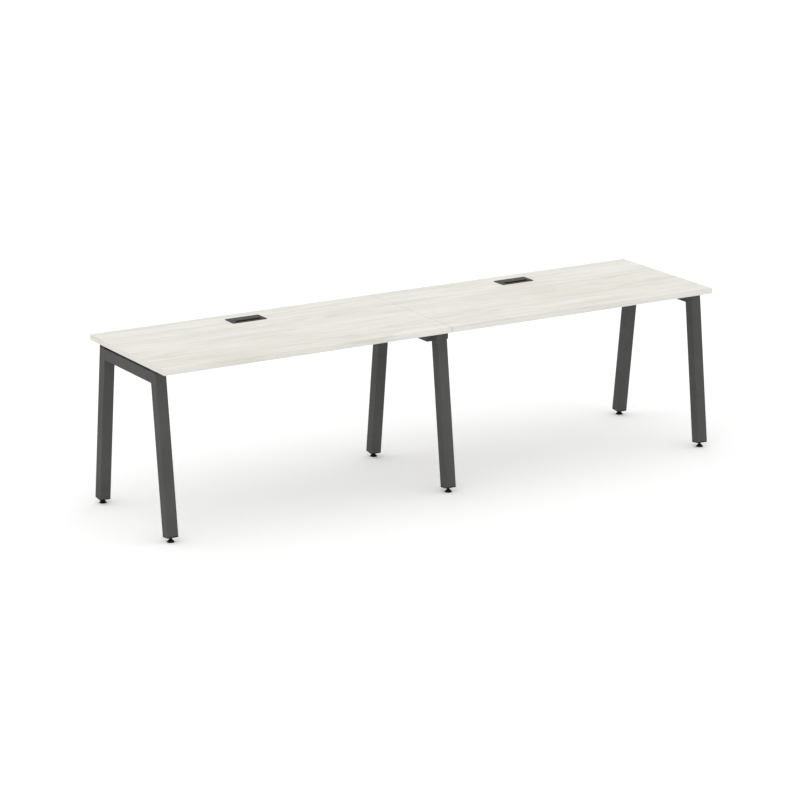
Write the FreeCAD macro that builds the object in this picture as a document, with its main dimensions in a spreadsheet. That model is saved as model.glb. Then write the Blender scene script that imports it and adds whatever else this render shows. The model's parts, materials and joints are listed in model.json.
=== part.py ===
import FreeCAD, Part
import math
import os
import Sketcher

# Two-seat, single-sided office bench: two laminate tops side by side on three A-shaped tube frames,
# with levelling feet under the legs and a flap-covered cable outlet near the back of each top.
# Millimetres, +Z up, origin on the floor under the middle of the bench.
# +X runs along the bench to the sitter's right, +Y from the sitting side to the back edge.

DIMENSIONS = {
    # Tops
    "bench_length": 2800,
    "desk_depth": 700,
    "desk_height": 755,
    "top_thickness": 25,
    "seam_gap": 2,
    "band_thickness": 2,
    "band_edge": 1,
    # Leg frames of square tube
    "tube_size": 50,
    "tube_wall": 2,
    "tube_corner": 2,
    "frame_inset": 2.5,
    "foot_inset": 27.5,
    "leg_splay": 6.9,
    "foot_clearance": 21.5,
    "spacer_height": 11,
    "side_tube_width": 30,
    "side_tube_lap": 9,
    "end_plate": 3,
    # Plastic plugs in both ends of each leg
    "cap_flange": 5,
    "plug_depth": 24,
    "plug_clearance": 0.3,
    # Levelling feet
    "foot_diameter": 32,
    "foot_rim": 3,
    "neck_diameter": 11,
    "neck_start": 14,
    "neck_top": 17.5,
    "stud_diameter": 8,
    "stud_top": 66,
    "thread_clearance": 0.05,
    "stud_bore_clearance": 0.5,
    "nut_width": 13,
    "nut_height": 6.5,
    "nut_clearance": 0.2,
    # Rails between the frames and the brackets that carry them
    "rail_tray_gap": 23,
    "rail_width": 25,
    "rail_height": 40,
    "rail_wall": 1.5,
    "rail_corner": 3,
    "rail_end_gap": 0.5,
    "bracket_width": 50,
    "bracket_plate": 4,
    "spigot_length": 44,
    "spigot_wall": 3,
    "spigot_clearance": 0.3,
    "bolt_diameter": 8,
    "bolt_clearance": 0.5,
    "bolt_head_diameter": 14,
    "bolt_head_height": 4.4,
    "bolt_length": 10,
    "bolt_reach": 22,
    # What holds the tops on the frames
    "pad_length": 40,
    "pad_offset": 350,
    "spacer_width": 20,
    "screw_diameter": 6,
    "screw_head_diameter": 12,
    "screw_head_height": 4,
    "screw_bite": 14,
    "screw_from_rail": 45,
    "screw_clearance": 0.05,
    "hole_clearance": 0.5,
    # Cable outlets
    "box_length": 168,
    "box_width": 82,
    "box_from_back": 115,
    "box_depth": 40,
    "box_wall": 2.5,
    "rim_width": 8,
    "rim_height": 3,
    "rim_corner": 4,
    "rim_edge": 1.2,
    "opening_corner": 1.5,
    "cutout_clearance": 1,
    # Hinged flaps of the outlets
    "slot_width": 24,
    "lid_ear": 12.5,
    "lid_thickness": 3,
    "lid_side_gap": 0.5,
    "lid_rest_gap": 0.3,
    "lid_lip": 3,
    "lid_lip_drop": 5,
    "lid_edge": 0.8,
    "ledge_width": 4,
    "ledge_thickness": 2.5,
    "ledge_end_gap": 1,
    "hinge_barrel": 6,
    "hinge_gap": 1,
    "pin_diameter": 3,
    "pin_reach": 6,
    "pin_end_gap": 0.5,
    "pin_clearance": 0.05,
    # Cable trays under the outlets
    "tray_length": 900,
    "tray_inside": 106,
    "tray_depth": 75,
    "tray_flange": 15,
    "tray_sheet": 1.5,
    "tray_screw_inset": 60,
    "tray_screw_diameter": 4,
    "tray_screw_head_diameter": 8,
    "tray_screw_head_height": 2.5,
    "tray_screw_bite": 11,
}

TINY = 1e-3

doc = FreeCAD.newDocument("office_bench")
sheet = doc.addObject("Spreadsheet::Sheet", "dims")
for row, (alias, size) in enumerate(DIMENSIONS.items(), start=1):
    sheet.set(f"A{row}", alias)
    sheet.set(f"B{row}", str(size))
    sheet.setAlias(f"B{row}", alias)
doc.recompute()

# Heights of the main planes
UNDERSIDE = "(dims.desk_height - dims.top_thickness)"
FRAME_TOP = f"({UNDERSIDE} - dims.spacer_height)"
FRAME_LOW = f"({FRAME_TOP} - dims.tube_size)"
RAIL_Z = f"({FRAME_TOP} - dims.rail_height / 2)"

# Places along and across the bench
TOP_LENGTH = "((dims.bench_length - dims.seam_gap) / 2)"
DESK_X = f"((dims.seam_gap + {TOP_LENGTH}) / 2)"
END_FRAME_X = "((dims.bench_length - dims.tube_size) / 2 - dims.frame_inset)"
END_BEAM_FACE = f"({END_FRAME_X} - dims.tube_size / 2)"
SIDE_TUBE_X = "((dims.tube_size + dims.side_tube_width) / 2)"
MID_BEAM_FACE = "(dims.tube_size / 2 + dims.side_tube_width)"
RAIL_LENGTH = f"({END_BEAM_FACE} - {MID_BEAM_FACE} - 2 * dims.bracket_plate - 2 * dims.rail_end_gap)"
FOOT_Y = "(dims.desk_depth / 2 - dims.foot_inset)"
BOX_Y = "(dims.desk_depth / 2 - dims.box_from_back)"
FLANGE_Y = "(dims.tray_inside / 2 + dims.tray_sheet + dims.tray_flange / 2)"
TRAY_FRONT = f"({BOX_Y} - {FLANGE_Y} - dims.tray_flange / 2)"
RAIL_Y = f"({TRAY_FRONT} - dims.rail_tray_gap - dims.rail_width / 2)"
SCREW_Y = f"({RAIL_Y} + dims.screw_from_rail)"
TRAY_SCREW_X = "(dims.tray_length / 2 - dims.tray_screw_inset)"

# Half widths of the leg tube, of its cavity and of the plugs in it, square across the leg
TUBE_HALF = "(dims.tube_size / 2)"
CAVITY_HALF = f"({TUBE_HALF} - dims.tube_wall)"
PLUG_HALF = f"({CAVITY_HALF} - dims.plug_clearance)"
CAVITY_CORNER = "max(dims.tube_corner - dims.tube_wall; dims.plug_clearance)"

# Leg cap: its length along the leg, the height of its middle and the highest point of its plug
CAP_LENGTH = "(dims.cap_flange + dims.plug_depth)"
CAP_TOP = f"(dims.foot_clearance + {CAP_LENGTH} * cos(dims.leg_splay))"
PLUG_PEAK = f"({CAP_TOP} + {PLUG_HALF} * sin(dims.leg_splay))"
NUT_LOW = f"({CAP_TOP} - dims.nut_height)"

# Cable outlet, measured from its middle on the top surface
OPENING_X = "(dims.box_length / 2 - dims.rim_width)"
OPENING_Y = "(dims.box_width / 2 - dims.rim_width)"
WALL_LENGTH = f"(2 * ({OPENING_X} + dims.box_wall))"
WALL_WIDTH = f"(2 * ({OPENING_Y} + dims.box_wall))"
HINGE_Y = f"({OPENING_Y} - dims.hinge_gap - dims.hinge_barrel / 2)"
HINGE_Z = "(dims.rim_height - dims.hinge_barrel / 2)"
LID_X = f"({OPENING_X} - dims.lid_side_gap)"
LID_FRONT = f"(dims.lid_side_gap - {OPENING_Y})"
SLOT_X = f"({LID_X} - dims.lid_ear)"
SLOT_BACK = f"(dims.slot_width - {OPENING_Y})"
LID_LOW = "(dims.rim_height - dims.lid_thickness)"

FRAMES = {"left": f"-{END_FRAME_X}", "middle": "0", "right": END_FRAME_X}
DESKS = {"left": "-1", "right": "1"}
ROWS = {"front": "-1", "rear": "1"}
BOTH_WAYS = ("-1", "1")

# Screws of the tops, measured from the middle of an end frame and of the middle frame
END_SCREWS = [("0", f"{row} * {SCREW_Y}") for row in BOTH_WAYS]
MID_SCREWS = [(f"{side} * {SIDE_TUBE_X}", y) for side in BOTH_WAYS for _, y in END_SCREWS]

sub_parts = []


def value(expression):
    """The number that an expression on the sheet gives."""
    return float(sheet.evalExpression(expression))


def place(item, x="0", y="0", z="0", turn=0):
    """Stand an object at a point given by expressions, turned about the vertical by degrees."""
    item.Placement = FreeCAD.Placement(FreeCAD.Vector(), FreeCAD.Rotation(FreeCAD.Vector(0, 0, 1), turn))
    for axis, expression in zip("xyz", (x, y, z)):
        item.setExpression(f"Placement.Base.{axis}", expression)


def keep(item, label):
    """Name an object as one of the bench's sub-parts."""
    item.Label = label
    sub_parts.append(item)


def new_body(name, x="0", y="0", z="0", turn=0):
    body = doc.addObject("PartDesign::Body", name)
    place(body, x, y, z, turn)
    return body


def sketch_on(body, role, x="0", y="0", z="0"):
    """Sketch on one of the body's origin planes, shifted within and along the normal of that plane."""
    sketch = body.newObject("Sketcher::SketchObject", "Sketch")
    plane = next(item for item in body.Origin.OriginFeatures if item.Role == role)
    sketch.AttachmentSupport = [(plane, "")]
    sketch.MapMode = "FlatFace"
    for axis, expression in zip("xyz", (x, y, z)):
        sketch.setExpression(f"AttachmentOffset.Base.{axis}", expression)
    return sketch


def constrain(sketch, expression, kind, *points):
    """Dimension in a sketch, driven by an expression."""
    index = sketch.addConstraint(Sketcher.Constraint(kind, *points, value(expression)))
    sketch.setExpression(f"Constraints[{index}]", expression)


def polygon(sketch, corners):
    """Closed outline of straight edges through corners, each a pair of expressions."""
    spots = [FreeCAD.Vector(value(x), value(y), 0) for x, y in corners]
    count = len(spots)
    first = sketch.GeometryCount
    for index in range(count):
        sketch.addGeometry(Part.LineSegment(spots[index], spots[(index + 1) % count]), False)
    for index, (x, y) in enumerate(corners):
        following = first + (index + 1) % count
        sketch.addConstraint(Sketcher.Constraint("Coincident", first + index, 2, following, 1))
        constrain(sketch, x, "DistanceX", first + index, 1)
        constrain(sketch, y, "DistanceY", first + index, 1)


def rectangle(sketch, low_x, low_y, high_x, high_y):
    polygon(sketch, [(low_x, low_y), (high_x, low_y), (high_x, high_y), (low_x, high_y)])


def circle(sketch, x, y, diameter):
    centre = FreeCAD.Vector(value(x), value(y), 0)
    index = sketch.addGeometry(Part.Circle(centre, FreeCAD.Vector(0, 0, 1), value(diameter) / 2), False)
    constrain(sketch, diameter, "Diameter", index)
    constrain(sketch, x, "DistanceX", index, 3)
    constrain(sketch, y, "DistanceY", index, 3)


def hexagon(sketch, across, y="0"):
    """Hexagon of a given width across flats, about a point on the sketch's vertical axis."""
    radius = f"({across} / 2 / cos(30))"
    polygon(sketch, [(f"{radius} * cos({60 * k})", f"{y} + {radius} * sin({60 * k})") for k in range(6)])


def rounded_rectangle(sketch, width, height, radius):
    """Rectangle about the sketch's origin with four equal round corners."""
    half_x = value(width) / 2
    half_y = value(height) / 2
    corner = value(radius)
    inner_x = half_x - corner
    inner_y = half_y - corner
    normal = FreeCAD.Vector(0, 0, 1)
    first = sketch.GeometryCount
    sides = [
        ((-inner_x, -half_y), (inner_x, -half_y)),
        ((half_x, -inner_y), (half_x, inner_y)),
        ((inner_x, half_y), (-inner_x, half_y)),
        ((-half_x, inner_y), (-half_x, -inner_y)),
    ]
    centres = [(inner_x, -inner_y), (inner_x, inner_y), (-inner_x, inner_y), (-inner_x, -inner_y)]
    quarter = math.pi / 2
    for start, end in sides:
        sketch.addGeometry(Part.LineSegment(FreeCAD.Vector(*start, 0), FreeCAD.Vector(*end, 0)), False)
    for index, centre in enumerate(centres):
        round_corner = Part.Circle(FreeCAD.Vector(*centre, 0), normal, corner)
        sketch.addGeometry(Part.ArcOfCircle(round_corner, (index - 1) * quarter, index * quarter), False)
    for index in range(4):
        side = first + index
        arc = first + 4 + index
        sketch.addConstraint(Sketcher.Constraint("Tangent", side, 2, arc, 1))
        sketch.addConstraint(Sketcher.Constraint("Tangent", arc, 2, first + (index + 1) % 4, 1))
        sketch.addConstraint(Sketcher.Constraint("Vertical" if index % 2 else "Horizontal", side))
    for index in range(1, 4):
        sketch.addConstraint(Sketcher.Constraint("Equal", first + 4, first + 4 + index))
    sketch.addConstraint(Sketcher.Constraint("Symmetric", first + 4, 3, first + 6, 3, -1, 1))
    constrain(sketch, radius, "Radius", first + 4)
    constrain(sketch, width, "DistanceX", first + 3, 1, first + 1, 1)
    constrain(sketch, height, "DistanceY", first, 1, first + 2, 1)


def extrude(body, kind, sketch, length, symmetric=False, backwards=False):
    """Pad or pocket of a sketch. A pad follows the sketch's normal and a pocket runs against it."""
    feature = body.newObject(f"PartDesign::{kind}", kind)
    feature.Profile = sketch
    feature.SideType = "Symmetric" if symmetric else "One side"
    feature.Reversed = backwards
    feature.setExpression("Length", length)
    body.Tip = feature
    return feature


def pad(body, sketch, length, **options):
    return extrude(body, "Pad", sketch, length, **options)


def pocket(body, sketch, length, **options):
    """Pocket that has to take material away."""
    doc.recompute()
    before = body.Shape.Volume
    feature = extrude(body, "Pocket", sketch, length, **options)
    doc.recompute()
    if body.Shape.Volume > before - TINY:
        raise RuntimeError(f"{body.Name}: a pocket cuts nothing")
    return feature


def revolve(body, sketch):
    """Full turn of a sketch about its own vertical axis."""
    feature = body.newObject("PartDesign::Revolution", "Revolution")
    feature.Profile = sketch
    feature.ReferenceAxis = (sketch, ["V_Axis"])
    body.Tip = feature
    return feature


def round_edges(body, radius, chosen):
    """Fillet on the edges of a body, in its own frame, that a test picks out."""
    doc.recompute()
    base = body.Tip
    names = [f"Edge{index}" for index, edge in enumerate(base.Shape.Edges, start=1) if chosen(edge)]
    if not names:
        raise RuntimeError(f"{body.Name}: no edge to round")
    feature = body.newObject("PartDesign::Fillet", "Fillet")
    feature.Base = (base, names)
    feature.setExpression("Radius", radius)
    body.Tip = feature
    return feature


def upright(edge):
    """Edge that climbs more than it runs, as the long edges of a leg do."""
    return edge.BoundBox.ZLength > max(edge.BoundBox.XLength, edge.BoundBox.YLength, TINY)


def lengthwise(edge):
    """Edge that runs along Y only, as the long edges of a beam do."""
    return edge.BoundBox.YLength > TINY and max(edge.BoundBox.XLength, edge.BoundBox.ZLength) < TINY


def beyond_x(edge, half_width):
    """Edge that lies at a given distance to either side of the middle plane."""
    return abs(abs(edge.CenterOfMass.x) - half_width) < TINY


def copies(original, places):
    """Links to one original, each at its own place and turn about the vertical."""
    links = []
    for x, y, z, turn in places:
        link = doc.addObject("App::Link", "Link")
        link.LinkedObject = original
        link.LinkTransform = True
        place(link, x, y, z, turn)
        links.append(link)
    return links


def group(label, members):
    """Sub-part of several separate solids."""
    compound = doc.addObject("Part::Compound", "Group")
    compound.Links = members
    keep(compound, label)


def instances(label, original, places):
    """Sub-part of equal pieces."""
    group(label, copies(original, places))


def leg_line(z):
    """How far out the middle of a leg lies at a height."""
    return f"({FOOT_Y} - ({z} - dims.foot_clearance) * tan(dims.leg_splay))"


def row_turn(row):
    """Turn about the vertical that takes a piece drawn for the rear row to its own row."""
    return 90 - 90 * int(row)


def level_end(z, half):
    """Inner and outer corner, in a leg's side view, of an end that is cut level at a height."""
    reach = f"({half} / cos(dims.leg_splay))"
    return [(f"{leg_line(z)} - {reach}", z), (f"{leg_line(z)} + {reach}", z)]


def square_end(along, half):
    """Inner and outer corner of an end cut square to the leg, some way up it from under its cap."""
    corners = []
    for across in (f"(-{half})", half):
        y = f"({FOOT_Y} - {along} * sin(dims.leg_splay) + {across} * cos(dims.leg_splay))"
        z = f"(dims.foot_clearance + {along} * cos(dims.leg_splay) + {across} * sin(dims.leg_splay))"
        corners.append((y, z))
    return corners


def leaning_outline(body, low_end, high_end):
    """Side view of a piece that leans with the leg between two ends."""
    sketch = sketch_on(body, "YZ_Plane")
    polygon(sketch, low_end + high_end[::-1])
    return sketch


def leaning_pad(body, low_end, high_end, width):
    pad(body, leaning_outline(body, low_end, high_end), width, symmetric=True)


def leg(label, frame_x, row):
    """Square tube that leans out towards the floor, cut level at its top and square at its foot."""
    body = new_body("Leg", x=frame_x, turn=row_turn(row))
    top = level_end(FRAME_TOP, TUBE_HALF)
    leaning_pad(body, square_end("dims.cap_flange", TUBE_HALF), top, "dims.tube_size")
    cavity_top = level_end(FRAME_TOP, CAVITY_HALF)
    cavity = leaning_outline(body, square_end("dims.cap_flange", CAVITY_HALF), cavity_top)
    pocket(body, cavity, f"(2 * {CAVITY_HALF})", symmetric=True)
    inside = value(CAVITY_HALF)
    outside = value(TUBE_HALF)
    round_edges(body, CAVITY_CORNER, lambda edge: upright(edge) and beyond_x(edge, inside))
    round_edges(body, "dims.tube_corner", lambda edge: upright(edge) and beyond_x(edge, outside))
    keep(body, label)


def leaning_plug(body, low_end, high_end):
    """Plug that fills the tube's cavity between two ends."""
    leaning_pad(body, low_end, high_end, f"(2 * {PLUG_HALF})")
    side = value(PLUG_HALF)
    round_edges(body, CAVITY_CORNER, lambda edge: upright(edge) and beyond_x(edge, side))


def leg_cap(label, frame_x, row):
    """Moulded cap under a leg: a flange flush with the tube, a plug inside it and a seat for a nut."""
    body = new_body("LegCap", x=frame_x, turn=row_turn(row))
    leaning_pad(body, square_end("0", TUBE_HALF), square_end("dims.cap_flange", TUBE_HALF), "dims.tube_size")
    round_edges(body, "dims.tube_corner", upright)
    leaning_plug(body, square_end("dims.cap_flange", PLUG_HALF), square_end(CAP_LENGTH, PLUG_HALF))
    bore = sketch_on(body, "XY_Plane", z=PLUG_PEAK)
    circle(bore, "0", FOOT_Y, "(dims.stud_diameter + 2 * dims.stud_bore_clearance)")
    pocket(body, bore, PLUG_PEAK)
    seat = sketch_on(body, "XY_Plane", z=PLUG_PEAK)
    hexagon(seat, "(dims.nut_width + 2 * dims.nut_clearance)", FOOT_Y)
    pocket(body, seat, f"({PLUG_PEAK} - {NUT_LOW})")
    keep(body, label)


def leg_top_plug(label, frame_x, row):
    """Moulded plug in the top of a leg, whose head carries the edge of the desktop."""
    body = new_body("LegTopPlug", x=frame_x, turn=row_turn(row))
    leaning_pad(body, level_end(FRAME_TOP, TUBE_HALF), level_end(UNDERSIDE, TUBE_HALF), "dims.tube_size")
    round_edges(body, "dims.tube_corner", upright)
    low = f"({FRAME_TOP} - dims.plug_depth)"
    leaning_plug(body, level_end(low, PLUG_HALF), level_end(FRAME_TOP, PLUG_HALF))
    keep(body, label)


def leg_inside(z):
    """How far out the inner face of a leg lies at a height."""
    return f"({leg_line(z)} - {TUBE_HALF} / cos(dims.leg_splay))"


def beam(label, frame_x):
    """Tube across the top of a frame, mitred to the legs' inner faces."""
    body = new_body("Beam", x=frame_x)
    for inset, kind, across in (("0", pad, TUBE_HALF), ("dims.tube_wall", pocket, CAVITY_HALF)):
        low = f"({FRAME_LOW} + {inset})"
        high = f"({FRAME_TOP} - {inset})"
        low_end = leg_inside(low)
        high_end = leg_inside(high)
        sketch = sketch_on(body, "YZ_Plane")
        polygon(sketch, [(f"-{low_end}", low), (low_end, low), (high_end, high), (f"-{high_end}", high)])
        kind(body, sketch, f"(2 * {across})", symmetric=True)
    outside = value(TUBE_HALF)
    inside = value(CAVITY_HALF)
    round_edges(body, CAVITY_CORNER, lambda edge: lengthwise(edge) and beyond_x(edge, inside))
    round_edges(body, "dims.tube_corner", lambda edge: lengthwise(edge) and beyond_x(edge, outside))
    keep(body, label)
    return body


def screw_bores(body, top, places):
    """Holes for the tops' screws, down through a tube from its upper face."""
    bores = sketch_on(body, "XY_Plane", z=top)
    for x, y in places:
        circle(bores, x, y, "(dims.screw_diameter + 2 * dims.hole_clearance)")
    pocket(body, bores, "dims.tube_size")


def side_tubes(label, plates_label):
    """Tubes along both sides of the middle beam, which carry the tops, and the plates that close them."""
    reach = f"({leg_inside(FRAME_LOW)} + dims.side_tube_lap)"
    length = f"(2 * ({reach} - dims.end_plate))"
    level = f"(({FRAME_LOW} + {FRAME_TOP}) / 2)"
    tube = new_body("SideTube")
    section = sketch_on(tube, "XZ_Plane")
    rounded_rectangle(section, "dims.side_tube_width", "dims.tube_size", "dims.tube_corner")
    pad(tube, section, length, symmetric=True)
    cavity = sketch_on(tube, "XZ_Plane")
    inner_width = "(dims.side_tube_width - 2 * dims.tube_wall)"
    rounded_rectangle(cavity, inner_width, f"(2 * {CAVITY_HALF})", CAVITY_CORNER)
    pocket(tube, cavity, length, symmetric=True)
    screw_bores(tube, TUBE_HALF, END_SCREWS)
    instances(label, tube, [(f"{side} * {SIDE_TUBE_X}", "0", level, 0) for side in BOTH_WAYS])
    plate = new_body("EndPlate")
    outline = sketch_on(plate, "XZ_Plane")
    rounded_rectangle(outline, "dims.side_tube_width", "dims.tube_size", "dims.tube_corner")
    pad(plate, outline, "dims.end_plate", symmetric=True)
    plate_y = f"({reach} - dims.end_plate / 2)"
    corners = [(f"{side} * {SIDE_TUBE_X}", f"{row} * {plate_y}") for side in BOTH_WAYS for row in BOTH_WAYS]
    instances(plates_label, plate, [(x, y, level, 0) for x, y in corners])


def foot(label, frame_x, row):
    """Moulded levelling foot: a flat rim, a cone and a neck that the stud stands on."""
    body = new_body("Foot", x=frame_x, y=f"{row} * {FOOT_Y}")
    sketch = sketch_on(body, "XZ_Plane")
    rim = "(dims.foot_diameter / 2)"
    neck = "(dims.neck_diameter / 2)"
    outline = [
        ("0", "0"),
        (rim, "0"),
        (rim, "dims.foot_rim"),
        (neck, "dims.neck_start"),
        (neck, "dims.neck_top"),
        ("0", "dims.neck_top"),
    ]
    polygon(sketch, outline)
    revolve(body, sketch)
    keep(body, label)


def foot_stud(label, frame_x, row):
    """Threaded stud of a levelling foot, drawn at its outer diameter."""
    stud = doc.addObject("Part::Cylinder", "Stud")
    stud.setExpression("Radius", "dims.stud_diameter / 2")
    stud.setExpression("Height", "dims.stud_top - dims.neck_top")
    place(stud, x=frame_x, y=f"{row} * {FOOT_Y}", z="dims.neck_top")
    keep(stud, label)


def cap_nuts(label):
    """Hexagon nuts in the leg caps, one round each stud."""
    nut = new_body("Nut")
    outline = sketch_on(nut, "XY_Plane")
    hexagon(outline, "dims.nut_width")
    circle(outline, "0", "0", "(dims.stud_diameter + 2 * dims.thread_clearance)")
    pad(nut, outline, "dims.nut_height")
    spots = [(x, f"{row} * {FOOT_Y}", NUT_LOW, 0) for x in FRAMES.values() for row in ROWS.values()]
    instances(label, nut, spots)


def headed_screw(name, diameter, length, head_diameter, head_height):
    """Screw or bolt with a flat round head that points up, the underside of its head at the origin."""
    body = new_body(name)
    sketch = sketch_on(body, "XZ_Plane")
    shank = f"({diameter} / 2)"
    head = f"({head_diameter} / 2)"
    outline = [
        ("0", f"(-{head_height})"),
        (head, f"(-{head_height})"),
        (head, "0"),
        (shank, "0"),
        (shank, length),
        ("0", length),
    ]
    polygon(sketch, outline)
    revolve(body, sketch)
    return body


def rail(label, side, y):
    """Rectangular tube from the end frame to the middle frame, drilled below for a bolt at each end."""
    middle = f"({side} * ({END_BEAM_FACE} + {MID_BEAM_FACE}) / 2)"
    body = new_body("Rail", x=middle, y=y, z=RAIL_Z)
    section = sketch_on(body, "YZ_Plane")
    rounded_rectangle(section, "dims.rail_width", "dims.rail_height", "dims.rail_corner")
    pad(body, section, RAIL_LENGTH, symmetric=True)
    bore = sketch_on(body, "YZ_Plane")
    inner_corner = "max(dims.rail_corner - dims.rail_wall; dims.spigot_clearance)"
    inner_width = "(dims.rail_width - 2 * dims.rail_wall)"
    inner_height = "(dims.rail_height - 2 * dims.rail_wall)"
    rounded_rectangle(bore, inner_width, inner_height, inner_corner)
    pocket(body, bore, RAIL_LENGTH, symmetric=True)
    holes = sketch_on(body, "XY_Plane")
    reach = f"({RAIL_LENGTH} / 2 + dims.rail_end_gap - dims.bolt_reach)"
    for end in BOTH_WAYS:
        circle(holes, f"{end} * {reach}", "0", "(dims.bolt_diameter + 2 * dims.bolt_clearance)")
    pocket(body, holes, "dims.rail_height")
    keep(body, label)


def rail_bracket():
    """Plate against a beam with a hollow spigot that a rail slides over, pointing along +X."""
    body = new_body("RailBracket")
    plate = sketch_on(body, "YZ_Plane")
    half_width = "(dims.bracket_width / 2)"
    half_height = "(dims.rail_height / 2)"
    rectangle(plate, f"-{half_width}", f"-{half_height}", half_width, half_height)
    pad(body, plate, "dims.bracket_plate")
    play = "(dims.rail_wall + dims.spigot_clearance)"
    width = f"(dims.rail_width - 2 * {play})"
    height = f"(dims.rail_height - 2 * {play})"
    corner = "max(dims.rail_corner - dims.rail_wall; dims.spigot_clearance)"
    spigot = sketch_on(body, "YZ_Plane", z="dims.bracket_plate")
    rounded_rectangle(spigot, width, height, corner)
    pad(body, spigot, "dims.spigot_length")
    hollow = sketch_on(body, "YZ_Plane", z="dims.bracket_plate")
    inner_x = f"({width} / 2 - dims.spigot_wall)"
    inner_y = f"({height} / 2 - dims.spigot_wall)"
    rectangle(hollow, f"-{inner_x}", f"-{inner_y}", inner_x, inner_y)
    pocket(body, hollow, "dims.spigot_length", backwards=True)
    holes = sketch_on(body, "XY_Plane")
    threaded = "(dims.bolt_diameter + 2 * dims.thread_clearance)"
    circle(holes, "(dims.bracket_plate + dims.bolt_reach)", "0", threaded)
    pocket(body, holes, "dims.rail_height")
    return body


def rail_brackets():
    """Brackets of each frame, one at every rail end."""
    original = rail_bracket()
    faces = {
        "left": [(f"-{END_BEAM_FACE}", 0)],
        "middle": [(f"-{MID_BEAM_FACE}", 180), (MID_BEAM_FACE, 0)],
        "right": [(END_BEAM_FACE, 180)],
    }
    for name, ends in faces.items():
        spots = [(x, f"{row} * {RAIL_Y}", RAIL_Z, turn) for x, turn in ends for row in BOTH_WAYS]
        instances(f"{name}_rail_brackets", original, spots)


def rail_bolts(label):
    """Bolts through the underside of the rails into the spigots."""
    sizes = ("dims.bolt_diameter", "dims.bolt_length", "dims.bolt_head_diameter", "dims.bolt_head_height")
    original = headed_screw("RailBolt", *sizes)
    level = f"({FRAME_TOP} - dims.rail_height)"
    spots = []
    reach = "(dims.bracket_plate + dims.bolt_reach)"
    for side in DESKS.values():
        for x in (f"({END_BEAM_FACE} - {reach})", f"({MID_BEAM_FACE} + {reach})"):
            for row in BOTH_WAYS:
                spots.append((f"{side} * {x}", f"{row} * {RAIL_Y}", level, 0))
    instances(label, original, spots)


def rail_pads(label):
    """Pads on the rails that carry the middle of the tops."""
    block = doc.addObject("Part::Box", "RailPad")
    block.setExpression("Length", "dims.pad_length")
    block.setExpression("Width", "dims.rail_width - 2 * dims.rail_corner")
    block.setExpression("Height", "dims.spacer_height")
    spots = []
    for side in DESKS.values():
        for along in BOTH_WAYS:
            x = f"{side} * {DESK_X} + {along} * dims.pad_offset - dims.pad_length / 2"
            for row in BOTH_WAYS:
                y = f"{row} * {RAIL_Y} - dims.rail_width / 2 + dims.rail_corner"
                spots.append((x, y, FRAME_TOP, 0))
    instances(label, block, spots)


def screw_spots(level):
    """Every screw that holds the tops, at a level."""
    ends = [(x, y, level, 0) for x in (FRAMES["left"], FRAMES["right"]) for _, y in END_SCREWS]
    return ends + [(x, y, level, 0) for x, y in MID_SCREWS]


def beam_spacers(label):
    """Square spacers between the beams and the tops, one round each screw."""
    block = new_body("BeamSpacer")
    sketch = sketch_on(block, "XY_Plane")
    half = "(dims.spacer_width / 2)"
    rectangle(sketch, f"-{half}", f"-{half}", half, half)
    circle(sketch, "0", "0", "(dims.screw_diameter + 2 * dims.hole_clearance)")
    pad(block, sketch, "dims.spacer_height")
    instances(label, block, screw_spots(FRAME_TOP))


def top_screws(label):
    """Long screws up through the beams and spacers into the tops."""
    length = "(dims.tube_size + dims.spacer_height + dims.screw_bite)"
    sizes = ("dims.screw_diameter", length, "dims.screw_head_diameter", "dims.screw_head_height")
    instances(label, headed_screw("TopScrew", *sizes), screw_spots(FRAME_LOW))


def tray_screw_spots():
    """Screws of one cable tray, measured from the middle of the outlet."""
    return [(f"{end} * {TRAY_SCREW_X}", f"{row} * {FLANGE_Y}") for end in BOTH_WAYS for row in BOTH_WAYS]


def desktop(label, side):
    """Laminate board with a cut-out for the cable outlet and blind holes for its screws."""
    body = new_body("Desktop", x=f"{side} * {DESK_X}", z=UNDERSIDE)
    board = sketch_on(body, "XY_Plane")
    half_x = f"({TOP_LENGTH} / 2 - dims.band_thickness)"
    half_y = "(dims.desk_depth / 2 - dims.band_thickness)"
    rectangle(board, f"-{half_x}", f"-{half_y}", half_x, half_y)
    pad(body, board, "dims.top_thickness")
    cut = sketch_on(body, "XY_Plane", y=BOX_Y)
    play = "(2 * dims.cutout_clearance)"
    corner = "(dims.opening_corner + dims.box_wall + dims.cutout_clearance)"
    rounded_rectangle(cut, f"({WALL_LENGTH} + {play})", f"({WALL_WIDTH} + {play})", corner)
    pocket(body, cut, "dims.top_thickness", backwards=True)
    frame_holes = sketch_on(body, "XY_Plane")
    for x in (f"({END_FRAME_X} - {DESK_X})", f"({SIDE_TUBE_X} - {DESK_X})"):
        for _, y in END_SCREWS:
            circle(frame_holes, f"{side} * {x}", y, "(dims.screw_diameter + 2 * dims.screw_clearance)")
    pocket(body, frame_holes, "(dims.screw_bite + dims.hole_clearance)", backwards=True)
    tray_holes = sketch_on(body, "XY_Plane", y=BOX_Y)
    for x, y in tray_screw_spots():
        circle(tray_holes, x, y, "(dims.tray_screw_diameter + 2 * dims.screw_clearance)")
    pocket(body, tray_holes, "(dims.tray_screw_bite + dims.hole_clearance)", backwards=True)
    keep(body, label)


def band_strip(name, length, chosen):
    """Strip of edge band along X that faces -Y, rounded on the edges that a test picks out."""
    body = new_body(name)
    outline = sketch_on(body, "XY_Plane")
    half = f"({length} / 2)"
    rectangle(outline, f"-{half}", "0", half, "dims.band_thickness")
    pad(body, outline, "dims.top_thickness")
    round_edges(body, "dims.band_edge", chosen)
    return body


def on_outer_face(edge):
    return edge.BoundBox.YMax < TINY


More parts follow.
